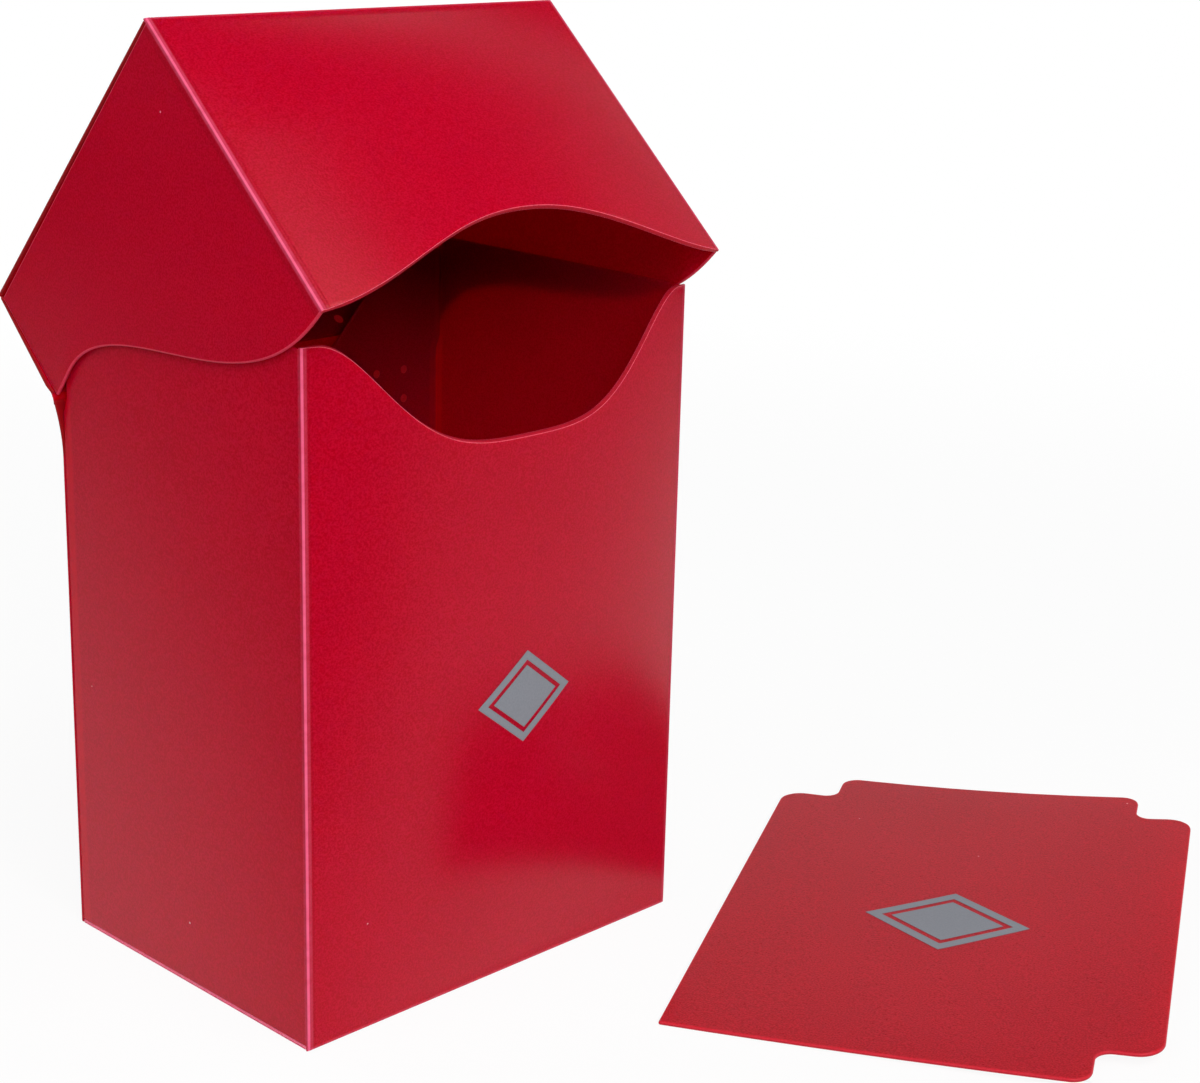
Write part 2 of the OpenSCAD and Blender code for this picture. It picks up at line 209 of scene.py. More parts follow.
def sheet_material(name, creases=(), light=RED, dark=DEEP_RED, on_lid=False,
                   roughness=SHEET_ROUGHNESS, glow=1.0):
    """Satin red sheet. Each crease holds the sockets of the crease group and the colour Pale.

    The creases are the same on the left and the right. With on_lid they are given in the lid's own
    frame, which is turned about the hinge.
    """
    material = bpy.data.materials.new(name)
    material.use_nodes = True
    tree = material.node_tree
    shader = tree.nodes["Principled BSDF"]
    place = tree.nodes.new("ShaderNodeTexCoord").outputs["Object"]
    local = place
    if on_lid:
        turned = tree.nodes.new("ShaderNodeMapping")
        turned.vector_type = "TEXTURE"
        turned.inputs["Location"].default_value = HINGE
        turned.inputs["Rotation"].default_value = (-LID_OPEN, 0, 0)
        tree.links.new(place, turned.inputs["Vector"])
        local = turned.outputs["Vector"]
    grain = tree.nodes.new("ShaderNodeGroup")
    grain.node_tree = GRAIN
    tree.links.new(place, grain.inputs["Vector"])
    tone = ramp_between(tree, grain.outputs["Tone"], *TONE_CONTRAST)
    colour = mix_colour(tree, tone, dark, light)
    if creases:
        axes = tree.nodes.new("ShaderNodeSeparateXYZ")
        tree.links.new(local, axes.inputs["Vector"])
        folded = tree.nodes.new("ShaderNodeCombineXYZ")
        tree.links.new(math_node(tree, "ABSOLUTE", axes.outputs["X"]), folded.inputs["X"])
        tree.links.new(axes.outputs["Y"], folded.inputs["Y"])
        tree.links.new(axes.outputs["Z"], folded.inputs["Z"])
    for crease in creases:
        paled = tree.nodes.new("ShaderNodeGroup")
        paled.node_tree = CREASE
        for label in ("Apex", "Across", "Width", "Band"):
            paled.inputs[label].default_value = crease[label]
        tree.links.new(folded.outputs["Vector"], paled.inputs["Vector"])
        colour = mix_colour(tree, paled.outputs["Mask"], colour, crease["Pale"])
    colour = mix_colour(tree, grain.outputs["Dust"], colour, DUST_GREY)
    tree.links.new(colour, shader.inputs["Base Color"])
    gloss = tree.nodes.new("ShaderNodeMapRange")
    gloss.inputs["To Min"].default_value = roughness - ROUGHNESS_SPREAD
    gloss.inputs["To Max"].default_value = roughness + ROUGHNESS_SPREAD
    tree.links.new(grain.outputs["Height"], gloss.inputs["Value"])
    tree.links.new(gloss.outputs["Result"], shader.inputs["Roughness"])
    bump = tree.nodes.new("ShaderNodeBump")
    bump.inputs["Strength"].default_value = GRAIN_STRENGTH
    bump.inputs["Distance"].default_value = GRAIN_DEPTH
    tree.links.new(grain.outputs["Height"], bump.inputs["Height"])
    tree.links.new(bump.outputs["Normal"], shader.inputs["Normal"])
    shader.inputs["Subsurface Weight"].default_value = glow
    shader.inputs["Subsurface Radius"].default_value = GLOW_RADIUS
    shader.inputs["Subsurface Scale"].default_value = GLOW_REACH
    shader.inputs["IOR"].default_value = SHEET_IOR
    shader.inputs["Specular IOR Level"].default_value = SHEET_SHINE
    return material


# The front wall: the middle of the body's sheet, with the sides folded back from it at both ends.
# It bows outwards because the sheet springs, and the die cuts a wide thumb opening between two upright
# shoulders. Its cut edge is a deep red face, a little slanted, between two bright rims.
STRESS_PINK = (0.94, 0.135, 0.27, 1)
EDGE_RED = (0.55, 0.008, 0.028, 1)
EDGE_DEEP_RED = (0.46, 0.002, 0.016, 1)
RIM_PINK = (1.0, 0.25, 0.34, 1)
CUT_ROUGHNESS = 0.5
EDGE_GLOW = 0.5
RIM_GLOW = 0.2
FOLD_RED = (0.5, 0.0034, 0.024, 1)
FOLD_DEEP_RED = (0.4, 0.0002, 0.011, 1)
FOLD_GLOW = 0.15
BODY_H = 97 * MM
BODY_HALF_W = 35 * MM
BODY_HALF_D = 27.25 * MM
CREASE_LAND = 1.2 * MM
FRONT_BOW = 5 * MM
BODY_BOW_RUN = 60 * MM
CUTOUT_LOW = 81.3 * MM
CUTOUT_HALF_W = 33 * MM
CUTOUT_POWER = 1.8
CUT_SLANT = 0.32 * MM
CUT_SLANT_RUN = 5 * MM
FOLD_R = 0.45 * MM
FOLD_SEGMENTS = 6
FOLD_APEX = FOLD_R * (1 - math.sqrt(0.5))
FOLD_LAND = 0.55 * MM
FOLD_STRIP = 1.1 * MM
LINED_BAND = 1.8 * MM
LINED_COLUMNS = 18
GROOVE_DEPTH = 0.035 * MM
GROOVE_HALF_W = 0.13 * MM
GROOVE_INSET = 0.85 * MM
SHEET_RIM = 0.26 * MM
FRONT_RIM = 0.14 * MM
RIM_SEGMENTS = 2
SHARP_ANGLE = math.radians(40)
SMOOTH_ANGLE = math.radians(34)
UPRIGHT = math.radians(90)
CLOSE = 0.01 * MM
SEAM_REACH = 0.05 * MM
FACING = 0.5
FACE_LAYER = 0
EDGE_LAYER = 1
RIM_LAYER = 2
FOLD_LAYER = 3
BODY_FOLD = dict(
    Apex=(BODY_HALF_W - FOLD_APEX, -BODY_HALF_D + FOLD_APEX, 0),
    Across=(1, 1, 0), Width=1.0, Band=0.2, Pale=STRESS_PINK)
BASE_CREASE = dict(
    Apex=(0, -BODY_HALF_D + FOLD_APEX, FOLD_APEX),
    Across=(0, 1, 1), Width=0.7, Band=0.2, Pale=STRESS_PINK)
CUT_EDGE = sheet_material("cut sheet edge", light=EDGE_RED, dark=EDGE_DEEP_RED,
                          roughness=CUT_ROUGHNESS, glow=EDGE_GLOW)
CUT_RIM = sheet_material("pale cut rim", light=RIM_PINK, dark=STRESS_PINK,
                         roughness=CUT_ROUGHNESS, glow=RIM_GLOW)


def only(piece):
    """Makes one piece the active and only selected one."""
    bpy.ops.object.select_all(action="DESELECT")
    piece.select_set(True)
    bpy.context.view_layer.objects.active = piece


def apply_modifier(piece, kind, **settings):
    """Puts one modifier on a piece and makes its result the mesh."""
    only(piece)
    modifier = piece.modifiers.new(kind.lower(), kind)
    for name, value in settings.items():
        setattr(modifier, name, value)
    bpy.ops.object.modifier_apply(modifier=modifier.name)


def soften_edges(piece, is_seam, width=SHEET_RIM):
    """Breaks the sharp edges apart from the seams. The new narrow faces are the pale rims."""
    mesh = piece.data
    beside = {}
    for face in mesh.polygons:
        for key in face.edge_keys:
            beside.setdefault(key, []).append(face.normal)
    weights = mesh.attributes.new("bevel_weight_edge", "FLOAT", "EDGE")
    for edge, weight in zip(mesh.edges, weights.data):
        normals = beside.get(edge.key, [])
        sharp = len(normals) == 2 and normals[0].angle(normals[1]) > SHARP_ANGLE
        middle = (mesh.vertices[edge.vertices[0]].co + mesh.vertices[edge.vertices[1]].co) / 2
        weight.value = 1.0 if sharp and not is_seam(middle) else 0.0
    apply_modifier(piece, "BEVEL", width=width, segments=RIM_SEGMENTS, limit_method="WEIGHT",
                   material=RIM_LAYER, use_clamp_overlap=True)
    only(piece)
    bpy.ops.object.shade_smooth_by_angle(angle=SMOOTH_ANGLE)
    apply_modifier(piece, "WEIGHTED_NORMAL", keep_sharp=True)


def ease(u):
    """A rise from 0 to 1 that starts and ends level."""
    return (1 - math.cos(math.pi * min(1, max(0, u)))) / 2


def bow_growth(from_crease, run):
    """Share of the full bow at a distance from the crease, where the sheet is still straight."""
    return 1 - (1 - min(1, max(0, from_crease - CREASE_LAND) / run)) ** 2


def bow_across(x, flat_half_w):
    """Height of the bow across a front, in a flat arch between its folds."""
    return FRONT_BOW * max(0, 1 - (x / flat_half_w) ** 2)


def groove(x, lines):
    """Depth of the shallow grooves that the creasing rule leaves beside a fold."""
    nearest = min(abs(abs(x) - line) for line in lines)
    return GROOVE_DEPTH * (1 - ease(nearest / GROOVE_HALF_W))


def cut_slant(x, half_w):
    """How far the inner side of a cut edge stands past its outer side, where the die cuts aslant."""
    return CUT_SLANT * ease((half_w - abs(x)) / CUT_SLANT_RUN)


def folded_slab(name, half_w, height, crease_z, material, fold_material, columns=120, rows=72):
    """An upright slab of sheet, its outside at y = 0 facing -Y, with rounded folds at its ends and crease.

    Its columns crowd together beside the folds, where the creasing rule leaves its grooves.
    """
    bpy.ops.object.select_all(action="DESELECT")
    bpy.ops.mesh.primitive_grid_add(x_subdivisions=columns, y_subdivisions=rows, size=1,
                                    rotation=(UPRIGHT, 0, 0))
    piece = bpy.context.object
    piece.name = name
    piece.scale = (2 * half_w, height, 1)
    piece.location = (0, 0, height / 2)
    bpy.ops.object.transform_apply(location=True, rotation=True, scale=True)
    for layer in (material, CUT_EDGE, CUT_RIM, fold_material):
        piece.data.materials.append(layer)
    lined = half_w - FOLD_LAND - LINED_BAND
    step = 2 * half_w / columns
    plain_half_w = half_w - step * (LINED_COLUMNS + 1)
    for point in piece.data.vertices:
        from_end = round((half_w - abs(point.co.x)) / step)
        if from_end > LINED_COLUMNS:
            point.co.x *= lined / plain_half_w
        elif from_end > 0:
            share = (from_end - 1) / LINED_COLUMNS
            point.co.x = math.copysign(half_w - FOLD_LAND - share * LINED_BAND, point.co.x)
    apply_modifier(piece, "SOLIDIFY", thickness=SHEET, offset=-1, material_offset_rim=EDGE_LAYER)
    bpy.ops.object.mode_set(mode="EDIT")
    bpy.ops.mesh.select_all(action="DESELECT")
    bpy.ops.object.mode_set(mode="OBJECT")
    points = piece.data.vertices
    for face in piece.data.polygons:
        at_cut = abs(face.center.z - (height - crease_z)) < CLOSE
        is_cut = face.material_index == EDGE_LAYER and at_cut
        face.material_index = EDGE_LAYER if is_cut else FACE_LAYER
    for edge in piece.data.edges:
        ends = [points[i].co for i in edge.vertices]
        outside = all(abs(p.y) < CLOSE for p in ends)
        at_fold = all(abs(abs(p.x) - half_w) < CLOSE for p in ends)
        at_crease = all(abs(p.z - crease_z) < CLOSE for p in ends)
        edge.select = outside and (at_fold or at_crease)
    bpy.ops.object.mode_set(mode="EDIT")
    bpy.ops.mesh.select_mode(type="EDGE")
    bpy.ops.mesh.bevel(offset=FOLD_R, segments=FOLD_SEGMENTS, affect="EDGES")
    bpy.ops.object.mode_set(mode="OBJECT")
    for face in piece.data.polygons:
        at_fold = abs(face.center.x) > half_w - FOLD_STRIP and face.normal.y < FACING
        if at_fold and face.material_index == FACE_LAYER:
            face.material_index = FOLD_LAYER
    return piece


def front_edge(x):
    """Height of the cut edge: low in the thumb opening and full at the shoulders."""
    return CUTOUT_LOW + (BODY_H - CUTOUT_LOW) * ease((abs(x) / CUTOUT_HALF_W) ** CUTOUT_POWER)


def front_y(x, z):
    """Depth of the outside of the front wall, inside its folds."""
    return -BODY_HALF_D - bow_across(x, BODY_HALF_W - SHEET) * bow_growth(z, BODY_BOW_RUN)


def front_seam(point):
    """Whether a point is on a fold to the sides or on the base crease."""
    return abs(point.x) > BODY_HALF_W - SEAM_REACH or point.z < SEAM_REACH


body_fold_material = sheet_material("body fold sheet", creases=[BODY_FOLD, BASE_CREASE],
                                    light=FOLD_RED, dark=FOLD_DEEP_RED, glow=FOLD_GLOW)
front_material = sheet_material("front wall sheet", creases=[BODY_FOLD, BASE_CREASE])
front_wall = folded_slab("front_wall", BODY_HALF_W, BODY_H, 0, front_material, body_fold_material)
body_grooves = (BODY_HALF_W - GROOVE_INSET,)
for point in front_wall.data.vertices:
    x, y, z = point.co
    slant = cut_slant(x, BODY_HALF_W) if y > SHEET / 2 and z > BODY_H - CLOSE else 0
    if z > CREASE_LAND:
        z = CREASE_LAND + (z - CREASE_LAND) * (front_edge(x) - CREASE_LAND) / (BODY_H - CREASE_LAND)
    if y < SHEET / 2:
        y += groove(x, body_grooves)
    point.co = (x, y + front_y(x, z), z + slant)
soften_edges(front_wall, front_seam, width=FRONT_RIM)
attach(front_wall, "box")
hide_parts("front_panel")

# The printed mark on the front: a plain grey lozenge in a ring, screen-printed on the sheet.
# The ink is a thin matt coat that follows the bow of the wall.
INK_GREY = (0.26, 0.28, 0.315, 1)
INK_DEEP_GREY = (0.24, 0.26, 0.29, 1)
INK = 0.04 * MM
MARK_Z = 44 * MM
MARK_HALF = (8.6 * MM, 6.8 * MM)
MARK_GAP = (0.66, 0.8)
MARK_CELLS = 50
ink_material = sheet_material("grey ink", light=INK_GREY, dark=INK_DEEP_GREY,
                              roughness=CUT_ROUGHNESS, glow=0.0)


def printed_mark(name, half_w, half_h, lay):
    """A lozenge and its ring. lay places a point of the mark, across and up, on the sheet."""
    bpy.ops.object.select_all(action="DESELECT")
    bpy.ops.mesh.primitive_grid_add(x_subdivisions=MARK_CELLS, y_subdivisions=MARK_CELLS, size=2)
    piece = bpy.context.object
    piece.name = name
    bpy.ops.object.mode_set(mode="EDIT")
    bpy.ops.mesh.select_all(action="DESELECT")
    bpy.ops.object.mode_set(mode="OBJECT")
    for face in piece.data.polygons:
        reach = max(abs(face.center.x), abs(face.center.y))
        face.select = MARK_GAP[0] < reach < MARK_GAP[1]
    bpy.ops.object.mode_set(mode="EDIT")
    bpy.ops.mesh.delete(type="FACE")
    bpy.ops.object.mode_set(mode="OBJECT")
    for point in piece.data.vertices:
        u, v = point.co.xy
        point.co = lay((u + v) / 2 * half_w, (v - u) / 2 * half_h)
    piece.data.materials.append(ink_material)
    apply_modifier(piece, "SOLIDIFY", thickness=INK, offset=1)
    only(piece)
    bpy.ops.object.shade_smooth_by_angle(angle=SMOOTH_ANGLE)
    return piece


def on_front(u, v):
    """A point of the mark, across and up from its middle, on the bowed front."""
    return (u, front_y(u, MARK_Z + v), MARK_Z + v)


front_mark = printed_mark("front_mark", *MARK_HALF, on_front)
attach(front_mark, "box")

# The side walls: two flat panels of the body's sheet, folded back from the front along creases.
# They stand between the lid's sides, and the tongues at their back and bottom edges are welded down.
FRONT_TUCK = 1.2 * MM
REAR_FOLD_RED = (0.68, 0.004, 0.02, 1)
REAR_FOLD = dict(
    Apex=(BODY_HALF_W - SHEET, BODY_HALF_D - 2 * SHEET, 0),
    Across=(1, 1, 0), Width=2.2, Band=0.6, Pale=REAR_FOLD_RED)
MERGE_REACH = 0.002 * MM
FLAT_ANGLE = math.radians(0.3)
TO_FRONT = Vector((0, -1, 0))


def no_seam(point):
    """For a piece that has cut edges all round."""
    return False


def flat_sheet(node, name, body, material, edge=CUT_EDGE, rim=CUT_RIM, is_seam=no_seam,
               shift=(0, 0, 0), fold=None, reshape=None):
    """A flat panel or flap: the solid's own outline with broken edges, its thickness in the edge's material.

    fold is (point, normal, material) for the strip beside a fold, and reshape moves the outline's points.
    """
    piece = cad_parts[node].copy()
    piece.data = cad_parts[node].data.copy()
    piece.name = name
    for key in [k for k in piece.keys() if k.startswith("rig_")]:
        del piece[key]
    piece.parent = None
    bpy.context.scene.collection.objects.link(piece)
    piece.data.materials.clear()
    for layer in (material, edge, rim):
        piece.data.materials.append(layer)
    only(piece)
    bpy.ops.object.mode_set(mode="EDIT")
    bpy.ops.mesh.select_all(action="SELECT")
    bpy.ops.mesh.remove_doubles(threshold=MERGE_REACH)
    bpy.ops.mesh.dissolve_limited(angle_limit=FLAT_ANGLE)
    bpy.ops.transform.translate(value=shift)
    if fold:
        bpy.ops.mesh.bisect(plane_co=fold[0], plane_no=fold[1])
        piece.data.materials.append(fold[2])
    bpy.ops.object.mode_set(mode="OBJECT")
    if reshape:
        reshape(piece)
    faces = piece.data.polygons
    broad = max(faces, key=lambda face: face.area).normal.copy()
    for face in faces:
        is_broad = abs(face.normal.dot(broad)) > FACING
        face.material_index = FACE_LAYER if is_broad else EDGE_LAYER
        outside = face.normal.x * face.center.x > 0
        if fold and is_broad and outside and (face.center - fold[0]).dot(fold[1]) > 0:
            face.material_index = FOLD_LAYER
    soften_edges(piece, is_seam)
    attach(piece, body)
    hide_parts(node)
    return piece


seam_y = -BODY_HALF_D + SHEET
tuck_y = seam_y + FRONT_TUCK + SEAM_REACH
side_material = sheet_material("side wall sheet", creases=[BODY_FOLD, REAR_FOLD])
side_fold = (Vector((0, seam_y + FOLD_STRIP, 0)), TO_FRONT, body_fold_material)


def side_seam(point):
    """Whether a point is on the fold to the front."""
    return point.y < tuck_y and point.z < BODY_H - SEAM_REACH


for side in ("left", "right"):
    side_wall = flat_sheet(side + "_side_panel", side + "_side_wall", "box", side_material,
                           edge=side_material, rim=side_material, fold=side_fold, is_seam=side_seam)
    for point in side_wall.data.vertices:
        if point.co.y < tuck_y:
            point.co.y = seam_y

# The back wall: a flat panel of the body's sheet that runs on from the bottom and ends at the hinge.
# It closes the box over the welded tongues of the sides, and widens to the lid's width below the hinge.
# Its cut edges are clear, without the pale rims of the fronts, and their dark red is painted shade.
# Painted shade: the clear cut edges are coloured dark red, standing in for the shade that lies on them.
SHADED_CLEAR_RED = (0.3, 0.0006, 0.004, 1)
CLEAR_GLOW = 0.3
SHADED_CLEAR_EDGE = sheet_material("shaded clear sheet edge", light=SHADED_CLEAR_RED, dark=SHADED_CLEAR_RED,
                            roughness=CUT_ROUGHNESS, glow=CLEAR_GLOW)
HINGE_FLARE = 1.25 * MM
HINGE_FLARE_RUN = 8 * MM
HINGE_FLARE_POWER = 1.7
HINGE_FLARE_STEPS = 8
HINGE_TOP = HINGE.z - 0.4 * MM
HINGE_RIM = 0.35 * MM
FLARE_LAND = 0.3 * MM
SIDE_FACING = 0.3


def flare_to_hinge(piece):
    """The back widens in a curve to the lid's width just below the hinge."""
    only(piece)
    bpy.ops.object.mode_set(mode="EDIT")
    for step in range(1, HINGE_FLARE_STEPS + 1):
        bpy.ops.mesh.select_all(action="SELECT")
        level = HINGE_TOP - HINGE_FLARE_RUN * step / HINGE_FLARE_STEPS
        bpy.ops.mesh.bisect(plane_co=(0, 0, level), plane_no=(0, 0, 1))
    for end in (-1, 1):
        bpy.ops.mesh.select_all(action="SELECT")
        bpy.ops.mesh.bisect(plane_co=(end * (BODY_HALF_W - FLARE_LAND), 0, 0), plane_no=(1, 0, 0))
    bpy.ops.object.mode_set(mode="OBJECT")
    for point in piece.data.vertices:
        if abs(point.co.x) > BODY_HALF_W - CLOSE:
            rise = max(0, 1 - (HINGE_TOP - point.co.z) / HINGE_FLARE_RUN)
            half_w = BODY_HALF_W + HINGE_FLARE * rise ** HINGE_FLARE_POWER
            point.co.x = math.copysign(half_w, point.co.x)


back_wall = flat_sheet("back_panel", "back_wall", "box", sheet_material("back wall sheet"),
                       edge=SHADED_CLEAR_EDGE, rim=SHADED_CLEAR_EDGE, reshape=flare_to_hinge)
back_wall.data.materials.append(body_fold_material)
for face in back_wall.data.polygons:
    if abs(face.normal.x) > SIDE_FACING and face.center.z < HINGE_TOP - HINGE_FLARE_RUN:
        face.material_index = FOLD_LAYER
    elif face.center.z > HINGE_TOP - HINGE_RIM and abs(face.center.x) < BODY_HALF_W:
        face.material_index = FACE_LAYER
    elif face.normal.y < 0 and abs(face.center.x) > BODY_HALF_W - FLARE_LAND:
        face.material_index = EDGE_LAYER

# The bottom: a flat panel of the body's sheet, between the creases to the front and to the back.
# It is the outermost layer of the base, and the side walls' tongues are welded on it.
bottom_material = sheet_material("bottom sheet", creases=[BASE_CREASE])
flat_sheet("bottom_panel", "bottom_wall", "box", bottom_material)

# The body's welded flaps: tongues of the side walls, creased over before the box is welded.
# The rear ones lie inside the back wall, and the bottom ones lie on the bottom.
FLAP_GAP = 0.06 * MM
flap_material = sheet_material("flap sheet", creases=[REAR_FOLD])
for side in ("left", "right"):
    flat_sheet(side + "_rear_flap", side + "_rear_tongue", "box", flap_material,
               edge=flap_material, rim=flap_material, shift=(0, -FLAP_GAP, 0))
    flat_sheet(side + "_bottom_flap", side + "_bottom_tongue", "box", flap_material,
               edge=flap_material, rim=flap_material)

# The weld spots: an ultrasonic punch melts tongue and wall together in rows of small spots.
# The melted sheet is clearer, and the light shining through it is painted: a bright red and a painted glow.
WELD_BACKLIT_RED = (0.9, 0.006, 0.02, 1)
WELD_BACKLIT_DEEP_RED = (0.8, 0.004, 0.015, 1)
WELD_ROUGHNESS = 0.6
WELD_PAINTED_GLOW = (0.07, 0.0004, 0.001, 1)
weld_material = sheet_material("welded spot", light=WELD_BACKLIT_RED, dark=WELD_BACKLIT_DEEP_RED, roughness=WELD_ROUGHNESS)
weld_shader = weld_material.node_tree.nodes["Principled BSDF"]
# Painted glow: the spots emit a faint red light of their own, standing in for light shining through them.
weld_shader.inputs["Emission Color"].default_value = WELD_PAINTED_GLOW
weld_shader.inputs["Emission Strength"].default_value = 1.0
for node in ("rear_weld_spots", "bottom_weld_spots", "lid_top_weld_spots", "lid_back_weld_spots"):
    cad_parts[node].data.materials.clear()
    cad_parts[node].data.materials.append(weld_material)

# The living hinge: a hot rule presses the sheet thin across the back, between the wall and the lid.
# The thin web bends there for as long as the box lasts, and pales in a line on its outside.
LID_PLACE = Matrix.Translation(HINGE) @ Matrix.Rotation(-LID_OPEN, 4, "X")
WEB = 0.3 * MM
WEB_HALF_W = BODY_HALF_W + HINGE_FLARE - 0.1 * MM
WEB_REACH = 1.0 * MM
WEB_KNEE_DROP = 0.1 * MM
WEB_STEPS = 12
WEB_COLUMNS = 8
WEB_SMOOTH_ANGLE = math.radians(50)
# Painted shade: the web is coloured a darker red than the rest of the sheet, standing in for the shade in
# the hinge.
WEB_SHADED_RED = (0.42, 0.002, 0.014, 1)
WEB_SHADED_DEEP_RED = (0.36, 0.001, 0.009, 1)
WEB_PINK = (0.72, 0.05, 0.1, 1)
web_foot = Vector((0, HINGE.y - SHEET / 2, HINGE.z - WEB_REACH))
web_knee = Vector((0, HINGE.y - SHEET / 2, HINGE.z - WEB_KNEE_DROP))
web_end = LID_PLACE @ Vector((0, -SHEET / 2, WEB_REACH))
bpy.ops.object.select_all(action="DESELECT")
bpy.ops.mesh.primitive_grid_add(x_subdivisions=WEB_COLUMNS, y_subdivisions=WEB_STEPS, size=2)
web = bpy.context.object
web.name = "hinge_web"
for point in web.data.vertices:
    u = (point.co.y + 1) / 2
    along = web_foot * (1 - u) ** 2 + web_knee * 2 * u * (1 - u) + web_end * u ** 2
    point.co = (point.co.x * WEB_HALF_W, along.y, along.z)
web_way = (web_end - web_foot).normalized()
web_middle = (web_foot + 2 * web_knee + web_end) / 4
web_outside = web_middle + Vector((0, web_way.z, -web_way.y)) * WEB / 2
HINGE_CREASE = dict(Apex=web_outside, Across=(0, 1, 1), Width=1.0, Band=0.0, Pale=WEB_PINK)
web_material = sheet_material("hinge web sheet", creases=[HINGE_CREASE], light=WEB_SHADED_RED, dark=WEB_SHADED_DEEP_RED)
web.data.materials.append(web_material)
apply_modifier(web, "SOLIDIFY", thickness=WEB, offset=0)
only(web)
bpy.ops.object.shade_smooth_by_angle(angle=WEB_SMOOTH_ANGLE)
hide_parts("living_hinge")
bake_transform(web)

# The lid's top and back strip: flat panels of the same sheet, with clear cut edges in a dark red of painted
# shade.
# The strip runs on from the hinge, and the top's tongue is welded inside it.
STRIP_CORNER_DROP = 0.6 * MM
STRIP_CORNER_REACH = 4 * MM
STRIP_MIN_HALF_W = 35.5 * MM
STRIP_FOOT = 1.0 * MM
to_lid = LID_PLACE.inverted()
lid_flat_material = sheet_material("lid top sheet", on_lid=True)


def drop_strip_corners(piece):
    """The strip keeps its full width almost down to the hinge."""
    for point in piece.data.vertices:
        held = to_lid @ point.co
        if STRIP_FOOT < held.z < STRIP_CORNER_REACH and abs(held.x) > STRIP_MIN_HALF_W:
            held.z -= STRIP_CORNER_DROP
        elif held.z < STRIP_FOOT:
            held.x = math.copysign(WEB_HALF_W, held.x)
        point.co = LID_PLACE @ held


flat_sheet("lid_top_panel", "lid_top", "lid", lid_flat_material, edge=SHADED_CLEAR_EDGE, rim=SHADED_CLEAR_EDGE)
lid_strip = flat_sheet("lid_back_strip", "lid_strip", "lid", lid_flat_material, edge=SHADED_CLEAR_EDGE,
                       rim=SHADED_CLEAR_EDGE, reshape=drop_strip_corners)
for face in lid_strip.data.polygons:
    if (to_lid @ face.center).z < STRIP_FOOT and abs(face.center.x) < BODY_HALF_W:
        face.material_index = FACE_LAYER

# The lid's front: a bowed panel like the body's, folded down from the lid's top, which nests over it.
# Its lower edge is cut in a wave, and the creasing rule has run twice beside the folds to its sides.
LID_D = 56.5 * MM
LID_RISE = 18.5 * MM
LID_FRONT_H = 47.9 * MM
LID_WAVE = 7.9 * MM
LID_WAVE_POWER = 1.08
LID_HALF_W = 35.9 * MM
LID_BOW_RUN = 22 * MM
SECOND_GROOVE_INSET = 1.3 * MM
LID_FOLD = dict(
    Apex=(LID_HALF_W - FOLD_APEX, -LID_D + FOLD_APEX, 0),
    Across=(1, 1, 0), Width=0.85, Band=0.36, Pale=STRESS_PINK)
TOP_CREASE = dict(
    Apex=(0, -LID_D + FOLD_APEX, LID_RISE - FOLD_APEX),
    Across=(0, 1, 1), Width=0.7, Band=0.2, Pale=STRESS_PINK)


def lid_edge(x):
    """Length of the lid's front below its top: the wave makes it shortest in the middle."""
    return LID_FRONT_H - LID_WAVE * (1 - ease((abs(x) / (LID_HALF_W - SHEET)) ** LID_WAVE_POWER))


def lid_front_seam(point):
    """Whether a point is on a fold to the lid's sides or on the crease to its top."""
    return abs(point.x) > LID_HALF_W - SEAM_REACH or point.z > LID_RISE - SEAM_REACH


lid_fold_material = sheet_material("lid fold sheet", on_lid=True, creases=[LID_FOLD, TOP_CREASE],
                                   light=FOLD_RED, dark=FOLD_DEEP_RED, glow=FOLD_GLOW)
lid_front_material = sheet_material("lid front sheet", on_lid=True, creases=[LID_FOLD, TOP_CREASE])
lid_front = folded_slab("lid_front", LID_HALF_W, LID_FRONT_H, LID_FRONT_H, lid_front_material,
                        lid_fold_material)
lid_grooves = (LID_HALF_W - GROOVE_INSET, LID_HALF_W - SECOND_GROOVE_INSET)
for point in lid_front.data.vertices:
    x, y, z = point.co
    below = LID_FRONT_H - z
    slant = cut_slant(x, LID_HALF_W) / 2 if y > SHEET / 2 and z < CLOSE else 0
    if below > CREASE_LAND:
        stretch = (lid_edge(x) - CREASE_LAND) / (LID_FRONT_H - CREASE_LAND)
        below = CREASE_LAND + (below - CREASE_LAND) * stretch
    if y < SHEET / 2:
        y += groove(x, lid_grooves)
    bow = bow_across(x, LID_HALF_W - SHEET) * bow_growth(below, LID_BOW_RUN)
    point.co = (x, y - LID_D - bow, LID_RISE - below - slant)
soften_edges(lid_front, lid_front_seam, width=FRONT_RIM)
lid_front.data.transform(LID_PLACE)
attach(lid_front, "lid")
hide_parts("lid_front_panel")

# The lid's sides: flat panels folded back from the lid's front, each cut in an S along its lower edge.
# They close over the body's sides and hold the lid shut by their grip.
LID_SIDE_RIM = (0.72, 0.036, 0.085, 1)
LID_SIDE_DEEP_RIM = (0.64, 0.026, 0.07, 1)
HEEL_DROP = 0.5 * MM
HEEL_RUN = 4 * MM
HEEL_TOP = 1.0 * MM
lid_seam_y = -LID_D + SHEET
lid_side_material = sheet_material("lid side sheet", on_lid=True, creases=[LID_FOLD])
lid_side_rim = sheet_material("lid side rim", light=LID_SIDE_RIM, dark=LID_SIDE_DEEP_RIM,
                              roughness=CUT_ROUGHNESS, glow=RIM_GLOW)
lid_side_fold = (LID_PLACE @ Vector((0, lid_seam_y + FOLD_STRIP, 0)), LID_PLACE.to_3x3() @ TO_FRONT,
                 lid_fold_material)


def lid_side_seam(point):
    """Whether a point is on the fold to the lid's front."""
    return (to_lid @ point).y < lid_seam_y + SEAM_REACH


